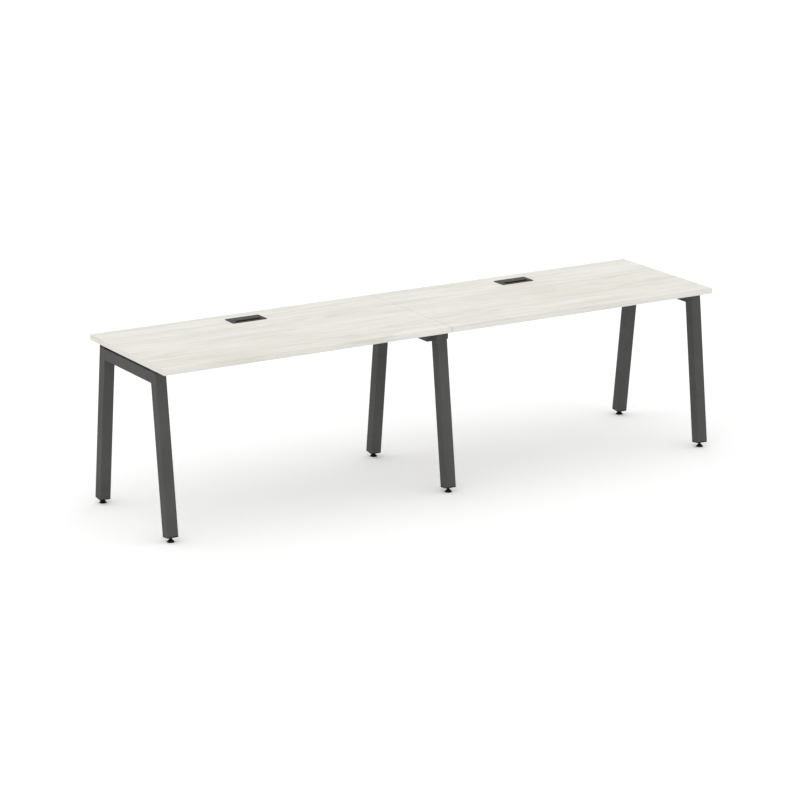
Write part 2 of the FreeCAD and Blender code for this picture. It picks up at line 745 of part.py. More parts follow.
def edge_bands():
    """Edge bands round each board, the long strips lapping the short ones."""
    long_strip = band_strip("LongBand", TOP_LENGTH, lambda edge: on_outer_face(edge) or lengthwise(edge))
    end_width = "(dims.desk_depth - 2 * dims.band_thickness)"
    end_strip = band_strip("EndBand", end_width, lambda edge: on_outer_face(edge) and not upright(edge))
    for name, side in DESKS.items():
        middle = f"{side} * {DESK_X}"
        long_spots = []
        end_spots = []
        for way in BOTH_WAYS:
            long_spots.append((middle, f"{way} * dims.desk_depth / 2", UNDERSIDE, 90 + 90 * int(way)))
            end_spots.append((f"{middle} + {way} * {TOP_LENGTH} / 2", "0", UNDERSIDE, 90 * int(way)))
        group(f"edge_bands_{name}", copies(long_strip, long_spots) + copies(end_strip, end_spots))


def cable_box(label, side):
    """Moulded cable outlet: a rim on the top, walls down through it, ledges and hinge bores for the flap."""
    body = new_body("CableBox", x=f"{side} * {DESK_X}", y=BOX_Y, z="dims.desk_height")
    rim = sketch_on(body, "XY_Plane")
    rounded_rectangle(rim, "dims.box_length", "dims.box_width", "dims.rim_corner")
    pad(body, rim, "dims.rim_height")
    rim_top = value("dims.rim_height")
    round_edges(body, "dims.rim_edge", lambda edge: edge.BoundBox.ZMin > rim_top - TINY)
    walls = sketch_on(body, "XY_Plane")
    rounded_rectangle(walls, WALL_LENGTH, WALL_WIDTH, "(dims.opening_corner + dims.box_wall)")
    pad(body, walls, "dims.box_depth", backwards=True)
    opening = sketch_on(body, "XY_Plane", z="dims.rim_height")
    rounded_rectangle(opening, f"(2 * {OPENING_X})", f"(2 * {OPENING_Y})", "dims.opening_corner")
    pocket(body, opening, "(dims.rim_height + dims.box_depth)")
    ledges = sketch_on(body, "XY_Plane", z=f"({LID_LOW} - dims.lid_rest_gap)")
    front_root = f"(-{OPENING_Y} - dims.box_wall / 2)"
    front_inner = f"(dims.ledge_width - {OPENING_Y})"
    side_root = f"({OPENING_X} + dims.box_wall / 2)"
    side_inner = f"({OPENING_X} - dims.ledge_width)"
    side_back = f"({HINGE_Y} - dims.hinge_barrel / 2 - dims.ledge_end_gap)"
    outline = [
        (f"-{side_root}", front_root),
        (side_root, front_root),
        (side_root, side_back),
        (side_inner, side_back),
        (side_inner, front_inner),
        (f"-{side_inner}", front_inner),
        (f"-{side_inner}", side_back),
        (f"-{side_root}", side_back),
    ]
    polygon(ledges, outline)
    pad(body, ledges, "dims.ledge_thickness", backwards=True)
    hinge = sketch_on(body, "YZ_Plane")
    circle(hinge, HINGE_Y, HINGE_Z, "(dims.pin_diameter + 2 * dims.pin_clearance)")
    pocket(body, hinge, WALL_LENGTH, symmetric=True)
    keep(body, label)


def cable_lid(label, side):
    """Flap of a cable outlet: a plate notched for the cables, a lip along the notch and a hinge barrel."""
    body = new_body("CableLid", x=f"{side} * {DESK_X}", y=BOX_Y, z="dims.desk_height")
    plate = sketch_on(body, "XY_Plane", z=LID_LOW)
    outline = [
        (f"-{LID_X}", LID_FRONT),
        (f"-{SLOT_X}", LID_FRONT),
        (f"-{SLOT_X}", SLOT_BACK),
        (SLOT_X, SLOT_BACK),
        (SLOT_X, LID_FRONT),
        (LID_X, LID_FRONT),
        (LID_X, HINGE_Y),
        (f"-{LID_X}", HINGE_Y),
    ]
    polygon(plate, outline)
    pad(body, plate, "dims.lid_thickness")
    back = value(HINGE_Y)
    top = value("dims.rim_height")

    def free_top_edge(edge):
        box = edge.BoundBox
        return box.ZMin > top - TINY and box.YMin < back - TINY

    round_edges(body, "dims.lid_edge", free_top_edge)
    lip = sketch_on(body, "XY_Plane", z=LID_LOW)
    rectangle(lip, f"-{SLOT_X}", SLOT_BACK, SLOT_X, f"({SLOT_BACK} + dims.lid_lip)")
    pad(body, lip, "dims.lid_lip_drop", backwards=True)
    barrel = sketch_on(body, "YZ_Plane")
    circle(barrel, HINGE_Y, HINGE_Z, "dims.hinge_barrel")
    pad(body, barrel, f"(2 * {LID_X})", symmetric=True)
    bore_depth = "(dims.pin_reach + dims.pin_end_gap)"
    for normal, backwards in (("-1", True), ("1", False)):
        bore = sketch_on(body, "YZ_Plane", z=f"{normal} * {LID_X}")
        circle(bore, HINGE_Y, HINGE_Z, "(dims.pin_diameter + 2 * dims.pin_clearance)")
        pocket(body, bore, bore_depth, backwards=backwards)
    keep(body, label)


def hinge_pins(label, side):
    """Two pins that stand in the walls of the outlet and reach into the ends of the flap's barrel."""
    pin = doc.addObject("Part::Cylinder", "HingePin")
    pin.setExpression("Radius", "dims.pin_diameter / 2")
    pin.setExpression("Height", "dims.box_wall + dims.lid_side_gap + dims.pin_reach")
    pins = []
    for end in BOTH_WAYS:
        lying = doc.addObject("App::Link", "Link")
        lying.LinkedObject = pin
        lying.LinkTransform = False
        place(lying, x=f"{side} * {DESK_X} + {end} * {WALL_LENGTH} / 2", y=f"{BOX_Y} + {HINGE_Y}",
              z=f"dims.desk_height + {HINGE_Z}")
        inward = FreeCAD.Vector(-float(end), 0, 0)
        lying.Placement.Rotation = FreeCAD.Rotation(FreeCAD.Vector(0, 0, 1), inward)
        pins.append(lying)
    group(label, pins)


def cable_tray(label, side):
    """Folded sheet tray under the outlet, hung from the top by two flanges and open at both ends."""
    body = new_body("CableTray", x=f"{side} * {DESK_X}", y=BOX_Y, z=UNDERSIDE)
    section = sketch_on(body, "YZ_Plane")
    inner = "(dims.tray_inside / 2)"
    outer = f"({inner} + dims.tray_sheet)"
    rim = f"({outer} + dims.tray_flange)"
    floor_top = "(dims.tray_sheet - dims.tray_depth)"
    right_half = [
        (inner, floor_top),
        (inner, "0"),
        (rim, "0"),
        (rim, "-dims.tray_sheet"),
        (outer, "-dims.tray_sheet"),
        (outer, "-dims.tray_depth"),
    ]
    left_half = [(f"-{y}", z) for y, z in reversed(right_half)]
    polygon(section, right_half + left_half)
    pad(body, section, "dims.tray_length", symmetric=True)
    holes = sketch_on(body, "XY_Plane")
    for x, y in tray_screw_spots():
        circle(holes, x, y, "(dims.tray_screw_diameter + 2 * dims.hole_clearance)")
    pocket(body, holes, "dims.tray_sheet")
    keep(body, label)


def tray_screws(label):
    """Screws up through the tray flanges into the tops."""
    length = "(dims.tray_sheet + dims.tray_screw_bite)"
    head = ("dims.tray_screw_head_diameter", "dims.tray_screw_head_height")
    original = headed_screw("TrayScrew", "dims.tray_screw_diameter", length, *head)
    level = f"({UNDERSIDE} - dims.tray_sheet)"
    spots = []
    for side in DESKS.values():
        for x, y in tray_screw_spots():
            spots.append((f"{side} * {DESK_X} + {x}", f"{BOX_Y} + {y}", level, 0))
    instances(label, original, spots)


for name, side in DESKS.items():
    desktop(f"desktop_{name}", side)
edge_bands()

for name, frame_x in FRAMES.items():
    for row_name, row in ROWS.items():
        leg(f"{name}_{row_name}_leg", frame_x, row)
        leg_cap(f"{name}_{row_name}_leg_cap", frame_x, row)
        leg_top_plug(f"{name}_{row_name}_top_plug", frame_x, row)
        foot(f"{name}_{row_name}_foot", frame_x, row)
        foot_stud(f"{name}_{row_name}_foot_stud", frame_x, row)
cap_nuts("leg_cap_nuts")

for name in ("left", "right"):
    screw_bores(beam(f"{name}_beam", FRAMES[name]), FRAME_TOP, END_SCREWS)
beam("middle_beam", FRAMES["middle"])
side_tubes("middle_side_tubes", "side_tube_plates")

for name, side in DESKS.items():
    for row_name, row in ROWS.items():
        rail(f"{name}_{row_name}_rail", side, f"{row} * {RAIL_Y}")
rail_brackets()
rail_bolts("rail_bolts")
rail_pads("rail_pads")
beam_spacers("beam_spacers")
top_screws("top_screws")

for name, side in DESKS.items():
    cable_box(f"cable_box_{name}", side)
    cable_lid(f"cable_lid_{name}", side)
    hinge_pins(f"hinge_pins_{name}", side)
    cable_tray(f"cable_tray_{name}", side)
tray_screws("tray_screws")

doc.recompute()
for item in doc.Objects:
    if "Invalid" in item.State or "Error" in item.State:
        raise RuntimeError(f"{item.Label} failed: {item.State}")
for item in sub_parts:
    if item.Shape.isNull() or not item.Shape.isValid():
        raise RuntimeError(f"{item.Label} has no valid shape")

os.makedirs("parts", exist_ok=True)
for item in sub_parts:
    item.Shape.exportStep(f"parts/{item.Label}.step")
print(f"{len(sub_parts)} sub-parts written")
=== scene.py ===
import json
import math

import bmesh
import bpy
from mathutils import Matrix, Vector


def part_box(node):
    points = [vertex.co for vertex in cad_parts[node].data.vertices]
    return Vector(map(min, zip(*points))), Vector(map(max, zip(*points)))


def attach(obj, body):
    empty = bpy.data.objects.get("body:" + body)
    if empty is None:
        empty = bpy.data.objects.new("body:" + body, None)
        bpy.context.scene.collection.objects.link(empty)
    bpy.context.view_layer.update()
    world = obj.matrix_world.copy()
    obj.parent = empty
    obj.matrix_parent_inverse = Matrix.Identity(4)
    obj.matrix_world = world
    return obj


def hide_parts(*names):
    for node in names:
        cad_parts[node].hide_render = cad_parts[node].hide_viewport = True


# Two-seat office bench in a white studio. Metres, +Z up, the sitting side towards -Y.

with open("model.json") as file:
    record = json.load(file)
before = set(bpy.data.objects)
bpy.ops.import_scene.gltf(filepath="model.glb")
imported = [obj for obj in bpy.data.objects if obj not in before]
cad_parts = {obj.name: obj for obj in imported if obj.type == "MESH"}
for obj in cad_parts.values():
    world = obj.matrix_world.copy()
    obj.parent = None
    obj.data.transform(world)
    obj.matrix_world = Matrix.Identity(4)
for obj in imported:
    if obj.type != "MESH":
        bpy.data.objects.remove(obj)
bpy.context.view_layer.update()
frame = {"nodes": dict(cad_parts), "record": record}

FRAMES = ("left", "middle", "right")
ROWS = {"front": -1, "rear": 1}


# Shader building blocks

# Ranges of a noise, where most of it lies, of a sine and of a factor
NOISE_RANGE = (0.3, 0.7)
SINE_RANGE = (-1.0, 1.0)
FACTOR_RANGE = (0.0, 1.0)


def srgb(red, green, blue):
    """Linear colour of an sRGB value given in 0 to 255."""
    channels = []
    for level in (red, green, blue):
        share = level / 255
        channels.append(share / 12.92 if share <= 0.04045 else ((share + 0.055) / 1.055) ** 2.4)
    return (*channels, 1.0)


BLACK = srgb(0, 0, 0)
WHITE = srgb(255, 255, 255)


def start_material(name):
    """New material with its node tree, its shader and coordinates in metres on the piece."""
    material = bpy.data.materials.new(name)
    material.use_nodes = True
    tree = material.node_tree
    shader = tree.nodes["Principled BSDF"]
    coordinates = tree.nodes.new("ShaderNodeTexCoord")
    return material, tree, shader, coordinates


def dress(tree, shader, colour, roughness, normal, gloss=0.5):
    """Colour, roughness and normal linked to a shader, and its gloss set."""
    tree.links.new(colour, shader.inputs["Base Color"])
    tree.links.new(roughness, shader.inputs["Roughness"])
    tree.links.new(normal, shader.inputs["Normal"])
    shader.inputs["Specular IOR Level"].default_value = gloss


def connect(tree, source, socket):
    """Output linked to a socket, or a plain value set on it."""
    if isinstance(source, bpy.types.NodeSocket):
        tree.links.new(source, socket)
    else:
        socket.default_value = source


def stretched(tree, vector, scale):
    """Coordinates with a scale of their own along each axis."""
    mapping = tree.nodes.new("ShaderNodeMapping")
    mapping.inputs["Scale"].default_value = scale
    tree.links.new(vector, mapping.inputs["Vector"])
    return mapping.outputs["Vector"]


def noise(tree, vector, scale=1.0, detail=2.0, roughness=0.5, distortion=0.0):
    """Cloudy noise between 0 and 1."""
    texture = tree.nodes.new("ShaderNodeTexNoise")
    texture.inputs["Scale"].default_value = scale
    texture.inputs["Detail"].default_value = detail
    texture.inputs["Roughness"].default_value = roughness
    texture.inputs["Distortion"].default_value = distortion
    tree.links.new(vector, texture.inputs["Vector"])
    return texture.outputs["Fac"]


def spread(tree, factor, old_range, new_range):
    """A factor carried over from one range to another."""
    carry = tree.nodes.new("ShaderNodeMapRange")
    limits = (*old_range, *new_range)
    for name, limit in zip(("From Min", "From Max", "To Min", "To Max"), limits):
        carry.inputs[name].default_value = limit
    tree.links.new(factor, carry.inputs["Value"])
    return carry.outputs["Result"]


def ramp(tree, factor, stops):
    """Colours along a factor, each stop a pair of place and colour."""
    colours = tree.nodes.new("ShaderNodeValToRGB")
    elements = colours.color_ramp.elements
    while len(elements) < len(stops):
        elements.new(0.5)
    for element, (place, colour) in zip(elements, stops):
        element.position = place
        element.color = colour
    tree.links.new(factor, colours.inputs["Fac"])
    return colours.outputs["Color"]


def mix(tree, kind, factor, under, over, blending="MIX"):
    """Two colours (kind RGBA) or vectors (kind VECTOR), the second laid over the first by a factor."""
    mixer = tree.nodes.new("ShaderNodeMix")
    mixer.data_type = kind
    mixer.blend_type = blending
    ending = {"RGBA": "Color", "VECTOR": "Vector"}[kind]
    sockets = {socket.identifier: socket for socket in mixer.inputs}
    connect(tree, factor, sockets["Factor_Float"])
    connect(tree, under, sockets[f"A_{ending}"])
    connect(tree, over, sockets[f"B_{ending}"])
    return next(socket for socket in mixer.outputs if socket.identifier == f"Result_{ending}")


def relief(tree, height, strength, depth, under=None):
    """Bump normal from a height, on top of another bump where one is given."""
    bump = tree.nodes.new("ShaderNodeBump")
    bump.inputs["Strength"].default_value = strength
    bump.inputs["Distance"].default_value = depth
    tree.links.new(height, bump.inputs["Height"])
    if under is not None:
        tree.links.new(under, bump.inputs["Normal"])
    return bump.outputs["Normal"]


def calculate(tree, operation, *values):
    """Result of a calculation on one or two values."""
    sum_node = tree.nodes.new("ShaderNodeMath")
    sum_node.operation = operation
    for value, socket in zip(values, sum_node.inputs):
        connect(tree, value, socket)
    return sum_node.outputs["Value"]


# Materials

# Grain of the laminate: features per metre along a strip, across it and through it
PLANK_GRAIN = (0.9, 6.0, 6.0)
PATCH_GRAIN = (2.4, 9.0, 9.0)
WISP_GRAIN = (2.3, 29.0, 29.0)
LINE_GRAIN = (1.1, 80.0, 80.0)
FIBRE_GRAIN = (12.0, 420.0, 420.0)
PORE_GRAIN = (26.0, 900.0, 900.0)
# Arches: radians of their wave over the plank noise from 0 to 1, and the patch noise in which they fade in
ARCH_WAVE = 48.0
ARCH_PATCHES = (0.42, 0.62)
# A face is on the end of a board where at least this share of its normal points along the bench
END_FACING = 0.7
# Marks on steel: features per metre along each axis
SCUFF_GRAIN = (90.0, 90.0, 14.0)
DRAWN_GRAIN = (900.0, 900.0, 120.0)
# Depth of the fine relief of wood and drawn steel, and of coats, plastic and rubber
GRAIN_DEPTH = 0.0002
PEEL_DEPTH = 0.0003


def along_the_strip(tree, coordinates):
    """Coordinates whose first axis runs along the board, or along the strip on its two ends."""
    place = coordinates.outputs["Object"]
    turn = tree.nodes.new("ShaderNodeVectorRotate")
    turn.rotation_type = "Z_AXIS"
    turn.inputs["Angle"].default_value = math.pi / 2
    tree.links.new(place, turn.inputs["Vector"])
    split = tree.nodes.new("ShaderNodeSeparateXYZ")
    tree.links.new(coordinates.outputs["Normal"], split.inputs["Vector"])
    facing = calculate(tree, "ABSOLUTE", split.outputs["X"])
    at_end = calculate(tree, "GREATER_THAN", facing, END_FACING)
    return mix(tree, "VECTOR", at_end, place, turn.outputs["Vector"])


def laminate():
    """Bleached oak decor: arches that come and go, soft wisps and lines, fine fibres and short pores."""
    material, tree, shader, coordinates = start_material("bleached_oak")
    grain = along_the_strip(tree, coordinates)
    planks = noise(tree, stretched(tree, grain, PLANK_GRAIN), detail=2.0, distortion=0.3)
    patches = noise(tree, stretched(tree, grain, PATCH_GRAIN), detail=2.0)
    wisps = noise(tree, stretched(tree, grain, WISP_GRAIN), detail=4.0, roughness=0.55, distortion=0.7)
    lines = noise(tree, stretched(tree, grain, LINE_GRAIN), detail=3.0, roughness=0.6)
    fibres = noise(tree, stretched(tree, grain, FIBRE_GRAIN), detail=3.0, roughness=0.6)
    pores = noise(tree, stretched(tree, grain, PORE_GRAIN), detail=1.0)
    waves = calculate(tree, "SINE", calculate(tree, "MULTIPLY", planks, ARCH_WAVE))
    arches = spread(tree, waves, SINE_RANGE, FACTOR_RANGE)
    arch_share = spread(tree, patches, ARCH_PATCHES, FACTOR_RANGE)
    colour = ramp(tree, wisps, [
        (0.30, srgb(230, 228, 222)),
        (0.47, srgb(237, 235, 230)),
        (0.62, srgb(241, 239, 235)),
    ])
    tints = (
        (1.0, planks, [(0.35, srgb(249, 248, 245)), (0.65, WHITE)]),
        (arch_share, arches, [(0.45, WHITE), (0.95, srgb(247, 246, 243))]),
        (0.8, lines, [(0.36, srgb(249, 248, 247)), (0.58, WHITE)]),
        (0.9, fibres, [(0.30, srgb(246, 245, 242)), (0.60, WHITE)]),
        (0.5, pores, [(0.28, srgb(222, 217, 208)), (0.38, WHITE)]),
    )
    for share, layer, stops in tints:
        colour = mix(tree, "RGBA", share, colour, ramp(tree, layer, stops), "MULTIPLY")
    roughness = spread(tree, wisps, NOISE_RANGE, (0.56, 0.46))
    fibre_relief = relief(tree, fibres, 0.25, GRAIN_DEPTH)
    normal = relief(tree, pores, 0.2, GRAIN_DEPTH, fibre_relief)
    dress(tree, shader, colour, roughness, normal, gloss=0.35)
    return material


def powder_coat(name, dark, light):
    """Powder coat on steel: fine orange peel, a slow change of tone and faint scuffs."""
    material, tree, shader, coordinates = start_material(name)
    place = coordinates.outputs["Object"]
    slow = noise(tree, place, scale=4.0, detail=3.0)
    peel = noise(tree, place, scale=700.0, detail=2.0, roughness=0.55)
    scuffs = noise(tree, stretched(tree, place, SCUFF_GRAIN), detail=5.0, roughness=0.7)
    paint = ramp(tree, slow, [(0.32, dark), (0.68, light)])
    rubbed = ramp(tree, scuffs, [(0.64, BLACK), (0.74, srgb(26, 26, 25))])
    colour = mix(tree, "RGBA", 0.5, paint, rubbed, "ADD")
    roughness = spread(tree, peel, NOISE_RANGE, (0.52, 0.66))
    normal = relief(tree, peel, 0.3, PEEL_DEPTH)
    dress(tree, shader, colour, roughness, normal, gloss=0.06)
    return material


def moulded_plastic(name, dark, light, texture_scale, rough, gloss):
    """Moulded plastic with an eroded texture and slight flow marks."""
    material, tree, shader, coordinates = start_material(name)
    place = coordinates.outputs["Object"]
    flow = noise(tree, place, scale=35.0, detail=3.0, distortion=0.5)
    spark = noise(tree, place, scale=texture_scale, detail=2.0, roughness=0.6)
    colour = ramp(tree, flow, [(0.3, dark), (0.7, light)])
    roughness = spread(tree, spark, NOISE_RANGE, (rough - 0.07, rough + 0.07))
    normal = relief(tree, spark, 0.35, PEEL_DEPTH)
    dress(tree, shader, colour, roughness, normal, gloss)
    return material


def rubber():
    """Black rubber with a dusty bloom."""
    material, tree, shader, coordinates = start_material("black_rubber")
    place = coordinates.outputs["Object"]
    bloom = noise(tree, place, scale=60.0, detail=4.0)
    skin = noise(tree, place, scale=900.0, detail=2.0)
    colour = ramp(tree, bloom, [(0.35, srgb(34, 34, 34)), (0.7, srgb(52, 52, 51))])
    roughness = spread(tree, bloom, NOISE_RANGE, (0.72, 0.88))
    normal = relief(tree, skin, 0.3, PEEL_DEPTH)
    dress(tree, shader, colour, roughness, normal)
    return material


def zinc():
    """Zinc plated steel: bright, with drawn marks and a mottled passivation."""
    material, tree, shader, coordinates = start_material("zinc_plate")
    place = coordinates.outputs["Object"]
    mottle = noise(tree, place, scale=160.0, detail=4.0, roughness=0.6)
    drawn = noise(tree, stretched(tree, place, DRAWN_GRAIN), detail=2.0)
    colour = ramp(tree, mottle, [(0.3, srgb(168, 168, 166)), (0.7, srgb(206, 207, 208))])
    roughness = spread(tree, drawn, NOISE_RANGE, (0.28, 0.42))
    normal = relief(tree, drawn, 0.15, GRAIN_DEPTH)
    dress(tree, shader, colour, roughness, normal)
    shader.inputs["Metallic"].default_value = 1.0
    return material


FINISHES = {
    "top_laminate": laminate(),
    "frame_paint": powder_coat("grey_powder_coat", dark=srgb(82, 82, 80), light=srgb(89, 89, 87)),
    "tray_paint": powder_coat("grey_sheet_coat", dark=srgb(78, 78, 76), light=srgb(85, 85, 83)),
    "black_plastic": moulded_plastic(
        "black_plastic",
        dark=srgb(13, 13, 13),
        light=srgb(20, 20, 20),
        texture_scale=1100.0,
        rough=0.52,
        gloss=0.2,
    ),
    "outlet_plastic": moulded_plastic(
        "grey_plastic",
        dark=srgb(47, 46, 41),
        light=srgb(53, 52, 47),
        texture_scale=1400.0,
        rough=0.48,
        gloss=0.15,
    ),
    "pad_rubber": rubber(),
    "zinc_steel": zinc(),
}

for part in frame["record"]["subparts"]:
    mesh = frame["nodes"][part["node"]].data
    mesh.materials.clear()
    mesh.materials.append(FINISHES[part["material_slot"]])


# Pieces with more detail than the solids carry

# Faces that meet at less than this angle are shaded as one smooth surface
SMOOTH_ANGLE = math.radians(35)


def new_piece(name, mesh, body, slot, location=(0.0, 0.0, 0.0)):
    """Object of the bench that rides on a body and takes the finish of a slot."""
    piece = bpy.data.objects.new(name, mesh)
    bpy.context.scene.collection.objects.link(piece)
    piece.location = location
    if not mesh.materials:
        mesh.materials.append(FINISHES[slot])
    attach(piece, body)
    return piece


def mesh_of(name, shape):
    """Mesh of a bmesh, with its faces turned outwards and smoothed up to an angle."""
    bmesh.ops.recalc_face_normals(shape, faces=shape.faces)
    mesh = bpy.data.meshes.new(name)
    shape.to_mesh(mesh)
    shape.free()
    mesh.shade_smooth()
    mesh.set_sharp_from_angle(angle=SMOOTH_ANGLE)
    return mesh


def skin_rings(shape, rings):
    """Surface through closed rings of equally many points, capped at both ends."""
    rows = [[shape.verts.new(point) for point in points] for points in rings]
    count = len(rows[0])
    for low, high in zip(rows, rows[1:]):
        for index in range(count):
            after = (index + 1) % count
            shape.faces.new((low[index], low[after], high[after], high[index]))
    shape.faces.new(rows[0])
    shape.faces.new(rows[-1])


def ring(radius, z, count, centre=(0.0, 0.0), outline=None, share=1.0):
    """Ring of points about a vertical axis: a circle, or one drawn towards an outline by a share."""
    points = []
    for index in range(count):
        angle = 2 * math.pi * index / count
        reach = radius
        if outline:
            reach *= 1 + share * (outline(angle) - 1)
        points.append(Vector((centre[0] + reach * math.cos(angle), centre[1] + reach * math.sin(angle), z)))
    return points


# Threaded studs of the feet

STUD_RADIUS = 0.004
STUD_CHAMFER = 0.0008
THREAD_PITCH = 0.00125
THREAD_DEPTH = 0.00068
THREAD_STEPS = 20
# How far the ridge is sunk in the core, its half width at the root and on the crest
RIDGE_SUNK = 0.0001
RIDGE_ROOT = 0.42 * THREAD_PITCH
RIDGE_CREST = 0.1 * RIDGE_ROOT
# Height of the ridge at its two ends, as a share of the full depth
RIDGE_END = 0.1


def threaded_stud(length):
    """Stud standing on the origin: a core with a chamfered tip and a ridge wound round it."""
    shape = bmesh.new()
    core = STUD_RADIUS - THREAD_DEPTH
    skin_rings(shape, [
        ring(core, 0.0, THREAD_STEPS),
        ring(core, length - STUD_CHAMFER, THREAD_STEPS),
        ring(core - STUD_CHAMFER, length, THREAD_STEPS),
    ])
    turns = (length - 2 * STUD_CHAMFER - 2 * THREAD_PITCH) / THREAD_PITCH
    steps = int(turns * THREAD_STEPS)
    root = core - RIDGE_SUNK
    sections = []
    for step in range(steps + 1):
        angle = 2 * math.pi * step / THREAD_STEPS
        fade = min(1.0, step / THREAD_STEPS, (steps - step) / THREAD_STEPS)
        z = THREAD_PITCH + THREAD_PITCH * step / THREAD_STEPS
        crest = core + THREAD_DEPTH * max(fade, RIDGE_END)
        profile = ((root, -RIDGE_ROOT), (crest, -RIDGE_CREST), (crest, RIDGE_CREST), (root, RIDGE_ROOT))
        sections.append([Vector((r * math.cos(angle), r * math.sin(angle), z + dz)) for r, dz in profile])
    skin_rings(shape, sections)
    return mesh_of("threaded_stud", shape)


stud_low, stud_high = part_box("left_front_foot_stud")
stud_mesh = threaded_stud(stud_high.z - stud_low.z)
for name in FRAMES:
    for row in ROWS:
        node = f"{name}_{row}_foot_stud"
        body = f"{name}_{row}_leveller"
        low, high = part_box(node)
        place = ((low.x + high.x) / 2, (low.y + high.y) / 2, low.z)
        stud = new_piece(f"{name}_{row}_threaded_stud", stud_mesh, body, "zinc_steel", place)
        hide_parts(node)


# Screws and bolts with drive recesses and crowned heads

HEAD_STEPS = 36
LOBE_COUNT = 6
LOBE_DEPTH = 0.12
# Radius of the drive recess, as a share of the head's radius
DRIVE_SHARE = 0.46
# Rings of the recess from its bottom to its mouth: shares of its radius, the head's height and its outline
RECESS_RINGS = ((0.9, 0.6, 1.0), (1.0, 0.02, 1.0), (1.12, 0.0, 0.6))
# Rings of the crown from the mouth outwards: shares of the head's radius and height
CROWN_RINGS = ((0.72, 0.08), (0.9, 0.3), (1.0, 0.7))
# Length of the point and radius of its tip, as shares of the shank's radius
POINT_LENGTH = 1.5
POINT_TIP = 0.35
# Points of a solid that lie closer than this are one point
SAME_POINT = 1e-6


def star(angle):
    """Reach of a drive recess with round lobes, as a share of its radius."""
    return 1 + LOBE_DEPTH * math.cos(LOBE_COUNT * angle)


def hexagon(angle):
    """Reach of a six-sided drive recess, as a share of the radius of its corners."""
    side = math.pi / 3
    return math.cos(side / 2) / math.cos(angle % side - side / 2)


def screw(shape, centre, low, shoulder, top, head_radius, shank_radius, outline):
    """Screw pointing up: a crowned head with a drive recess below its shoulder, a pointed shank above."""
    height = shoulder - low
    drive = DRIVE_SHARE * head_radius
    rings = []
    for reach, rise, share in RECESS_RINGS:
        rings.append(ring(reach * drive, low + rise * height, HEAD_STEPS, centre, outline, share))
    for reach, rise in CROWN_RINGS:
        rings.append(ring(reach * head_radius, low + rise * height, HEAD_STEPS, centre))
    rings += [
        ring(head_radius, shoulder, HEAD_STEPS, centre),
        ring(shank_radius, shoulder, HEAD_STEPS, centre),
        ring(shank_radius, top - POINT_LENGTH * shank_radius, HEAD_STEPS, centre),
        ring(POINT_TIP * shank_radius, top, HEAD_STEPS, centre),
    ]
    skin_rings(shape, rings)


def islands(node):
    """Lowest and highest corner of the box round each separate solid of a CAD node."""
    shape = bmesh.new()
    shape.from_mesh(frame["nodes"][node].data)
    bmesh.ops.remove_doubles(shape, verts=shape.verts, dist=SAME_POINT)
    left = set(shape.verts)
    found = []
    while left:
        seed = left.pop()
        queue = [seed]
        members = [seed]
        while queue:
            for edge in queue.pop().link_edges:
                for vert in edge.verts:
                    if vert in left:
                        left.remove(vert)
                        queue.append(vert)
                        members.append(vert)
        low = Vector(min(vert.co[axis] for vert in members) for axis in range(3))
        high = Vector(max(vert.co[axis] for vert in members) for axis in range(3))
        found.append((low, high))
    shape.free()
    return sorted(found, key=lambda pair: tuple(round(value, 6) for value in pair[0]))


# For each CAD node: name of the piece, height of the head, radius of the shank, outline of the recess
SCREWS = {
    "top_screws": ("driven_top_screws", 0.004, 0.003, star),
    "tray_screws": ("driven_tray_screws", 0.0025, 0.002, star),
    "rail_bolts": ("driven_rail_bolts", 0.0044, 0.004, hexagon),
}
for node, (name, head_height, shank_radius, outline) in SCREWS.items():
    shape = bmesh.new()
    for low, high in islands(node):
        centre = ((low.x + high.x) / 2, (low.y + high.y) / 2)
        head_radius = (high.x - low.x) / 2
        screw(shape, centre, low.z, low.z + head_height, high.z, head_radius, shank_radius, outline)
    piece = new_piece(name, mesh_of(name, shape), "bench", "zinc_steel")
    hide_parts(node)


# Welds of the frames

LEG_SPLAY = math.radians(6.9)
TUBE_CORNER = 0.002
# Beads: size, steps across, hollow of the face as a share, depth of the root, length left free at each end
WELD_SIZE = 0.0042
WELD_STEPS = 7
WELD_HOLLOW = 0.16
WELD_ROOT = 0.0004
WELD_TRIM = 0.004
# Ripples along a bead: length, height as a share of the bead's size, and sections
RIPPLE_LENGTH = 0.0032
RIPPLE_HEIGHT = 0.09
RIPPLE_SECTIONS = 4
LEAST_SECTIONS = 8
# Size of a bead at its ends, as a share, and how fast it grows along the run
WELD_END = 0.35
WELD_GROWTH = 6
# Ground welds: how far they stand proud, and how far they lap over the beam
GROUND_PROUD = 0.00005
GROUND_LAP = 0.0002


def weld_bead(shape, start, end, wall, floor):
    """Rippled fillet weld in the corner between two faces, whose outward directions are wall and floor."""
    run = end - start
    count = max(LEAST_SECTIONS, round(run.length / RIPPLE_LENGTH * RIPPLE_SECTIONS))
    sections = []
    for step in range(count + 1):
        share = step / count
        ripple = 1 + RIPPLE_HEIGHT * math.sin(2 * math.pi * share * run.length / RIPPLE_LENGTH)
        taper = min(1.0, WELD_END + WELD_GROWTH * min(share, 1 - share))
        size = WELD_SIZE * ripple * taper
        corner = start + run * share
        points = [corner - WELD_ROOT * (wall + floor)]
        for index in range(WELD_STEPS):
            angle = math.pi / 2 * index / (WELD_STEPS - 1)
            bulge = 1 - WELD_HOLLOW * math.sin(2 * angle)
            points.append(corner + size * bulge * (math.cos(angle) * wall + math.sin(angle) * floor))
        sections.append(points)
    skin_rings(shape, sections)


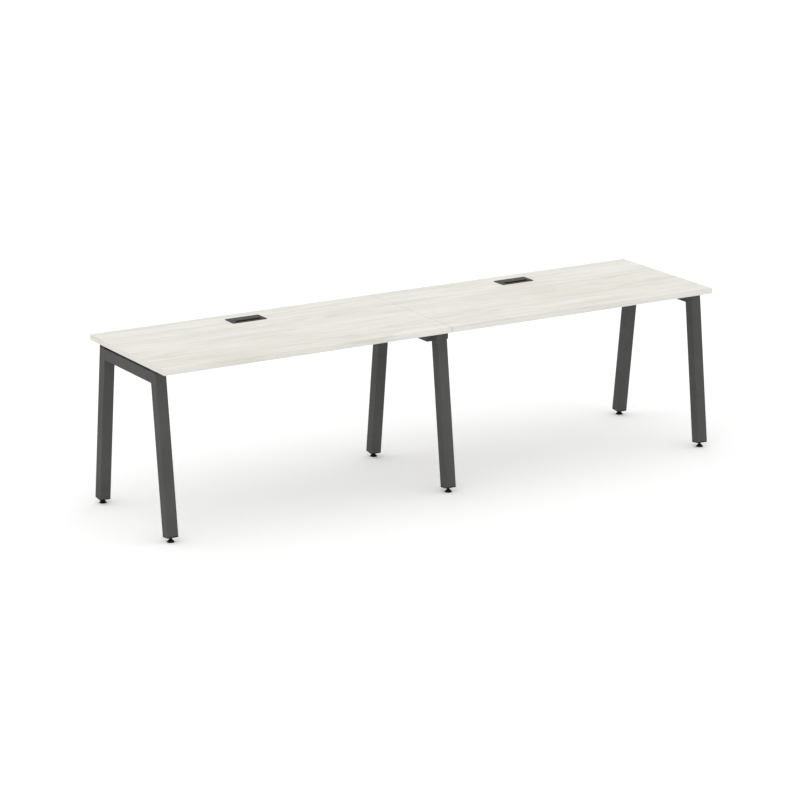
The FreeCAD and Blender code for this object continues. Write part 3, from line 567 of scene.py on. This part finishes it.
def ground_weld(shape, start, end, out, into_leg):
    """Weld that fills the groove between a leg's round edge and the beam, ground level with their sides."""
    sections = []
    for point in (start, end):
        corner = point + GROUND_PROUD * out
        bottom = point - TUBE_CORNER * out
        sections.append([
            corner - GROUND_LAP * into_leg,
            corner + TUBE_CORNER * into_leg,
            bottom,
            bottom - GROUND_LAP * into_leg,
        ])
    skin_rings(shape, sections)


def frame_welds(name):
    """Welds of a frame: beads under the beam, and ground welds or beads up both sides of each leg."""
    shape = bmesh.new()
    beam_low, beam_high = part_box(f"{name}_beam")
    down = Vector((0.0, 0.0, -1.0))
    rise = beam_high.z - beam_low.z
    for row, sign in ROWS.items():
        leg_low, leg_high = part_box(f"{name}_{row}_leg")
        inner = Vector((0.0, -sign * math.cos(LEG_SPLAY), -math.sin(LEG_SPLAY)))
        start = Vector((leg_low.x + WELD_TRIM, sign * beam_high.y, beam_low.z))
        end = Vector((leg_high.x - WELD_TRIM, sign * beam_high.y, beam_low.z))
        weld_bead(shape, start, end, inner, down)
        lean = Vector((0.0, -sign * math.tan(LEG_SPLAY) * rise, rise))
        for side, edge in ((-1, leg_low.x), (1, leg_high.x)):
            out = Vector((side, 0.0, 0.0))
            if name == "middle":
                tube_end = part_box("side_tube_plates")[1].y
                low = Vector((edge, sign * tube_end, beam_low.z + WELD_TRIM))
                high = Vector((edge, sign * tube_end, beam_high.z - WELD_TRIM))
                weld_bead(shape, low, high, out, Vector((0.0, sign, 0.0)))
            else:
                foot = Vector((edge, sign * beam_high.y, beam_low.z))
                ground_weld(shape, foot, foot + lean, out, -inner)
    new_piece(f"{name}_frame_welds", mesh_of(f"{name}_frame_welds", shape), "bench", "frame_paint")


for name in FRAMES:
    frame_welds(name)


# Studio: an endless white floor, an even dome of light and a faint broad lamp nearly overhead

FLOOR_SPAN = 150.0
# Brightness of the floor as it is seen, as it lights the bench, and its own glow where it is seen
FLOOR_SEEN = 1.0
FLOOR_BOUNCE = 0.90
FLOOR_GLOW = 0.10
# Light of the dome on the bench, and the dome as it is seen
DOME_LEVEL = 0.925
DOME_SEEN = 1.0
# Strength and spread of the lamp, and the direction from which it shines
LAMP_LEVEL = 0.10
LAMP_SPREAD = math.radians(100)
LAMP_FROM = Vector((-0.30, -0.15, 0.94))


def seen_directly(tree):
    """1 for rays from the camera, and for those that gloss and glass send on."""
    path = tree.nodes.new("ShaderNodeLightPath")
    seen = calculate(tree, "MAXIMUM", path.outputs["Is Camera Ray"], path.outputs["Is Glossy Ray"])
    return calculate(tree, "MAXIMUM", seen, path.outputs["Is Transmission Ray"])


def studio_white():
    """Matt white that glows a little where it is seen, so that the floor runs into the background."""
    material = bpy.data.materials.new("studio_white")
    material.use_nodes = True
    tree = material.node_tree
    tree.nodes.clear()
    seen = seen_directly(tree)
    diffuse = tree.nodes.new("ShaderNodeBsdfDiffuse")
    brightness = spread(tree, seen, FACTOR_RANGE, (FLOOR_BOUNCE, FLOOR_SEEN))
    tree.links.new(brightness, diffuse.inputs["Color"])
    glow = tree.nodes.new("ShaderNodeEmission")
    tree.links.new(calculate(tree, "MULTIPLY", seen, FLOOR_GLOW), glow.inputs["Strength"])
    both = tree.nodes.new("ShaderNodeAddShader")
    tree.links.new(diffuse.outputs["BSDF"], both.inputs[0])
    tree.links.new(glow.outputs["Emission"], both.inputs[1])
    output = tree.nodes.new("ShaderNodeOutputMaterial")
    tree.links.new(both.outputs["Shader"], output.inputs["Surface"])
    return material


def studio_floor():
    """Square floor at the height of the feet, far wider than the view."""
    shape = bmesh.new()
    bmesh.ops.create_grid(shape, x_segments=1, y_segments=1, size=FLOOR_SPAN / 2)
    mesh = bpy.data.meshes.new("studio_floor")
    shape.to_mesh(mesh)
    shape.free()
    mesh.materials.append(studio_white())
    floor = bpy.data.objects.new("studio_floor", mesh)
    bpy.context.scene.collection.objects.link(floor)


def studio_world():
    """White dome, a little dimmer as a light than as a background."""
    world = bpy.data.worlds.new("studio_dome")
    world.use_nodes = True
    tree = world.node_tree
    background = tree.nodes["Background"]
    background.inputs["Color"].default_value = WHITE
    strength = spread(tree, seen_directly(tree), FACTOR_RANGE, (DOME_LEVEL, DOME_SEEN))
    tree.links.new(strength, background.inputs["Strength"])
    bpy.context.scene.world = world


def studio_lamp():
    """Faint lamp so broad that its shadows have no edge."""
    lamp = bpy.data.lights.new("soft_lamp", "SUN")
    lamp.energy = LAMP_LEVEL * math.pi
    lamp.angle = LAMP_SPREAD
    holder = bpy.data.objects.new("soft_lamp", lamp)
    holder.rotation_mode = "QUATERNION"
    holder.rotation_quaternion = (-LAMP_FROM).to_track_quat("-Z", "Y")
    bpy.context.scene.collection.objects.link(holder)


studio_floor()
studio_world()
studio_lamp()
bpy.context.scene.view_settings.view_transform = "Standard"


# Camera, solved from the corners of the tops and from the feet in the photograph

CAMERA_AZIMUTH = math.radians(-31.21)
CAMERA_ELEVATION = math.radians(15.52)
CAMERA_DISTANCE = 13.90
CAMERA_TARGET = Vector((-0.0534, 0.0, 0.351))
# Lens and sensor in millimetres
CAMERA_LENS = 140.31
CAMERA_SENSOR = 36.0


def studio_camera():
    """Camera that looks at its target from an azimuth, an elevation and a distance."""
    data = bpy.data.cameras.new("camera")
    data.sensor_width = CAMERA_SENSOR
    data.lens = CAMERA_LENS
    data.clip_end = 2 * FLOOR_SPAN
    away = Vector((
        math.sin(CAMERA_AZIMUTH) * math.cos(CAMERA_ELEVATION),
        -math.cos(CAMERA_AZIMUTH) * math.cos(CAMERA_ELEVATION),
        math.sin(CAMERA_ELEVATION),
    ))
    camera = bpy.data.objects.new("camera", data)
    camera.location = CAMERA_TARGET + CAMERA_DISTANCE * away
    camera.rotation_mode = "QUATERNION"
    camera.rotation_quaternion = (-away).to_track_quat("-Z", "Y")
    bpy.context.scene.collection.objects.link(camera)
    bpy.context.scene.camera = camera


studio_camera()

bpy.context.view_layer.update()
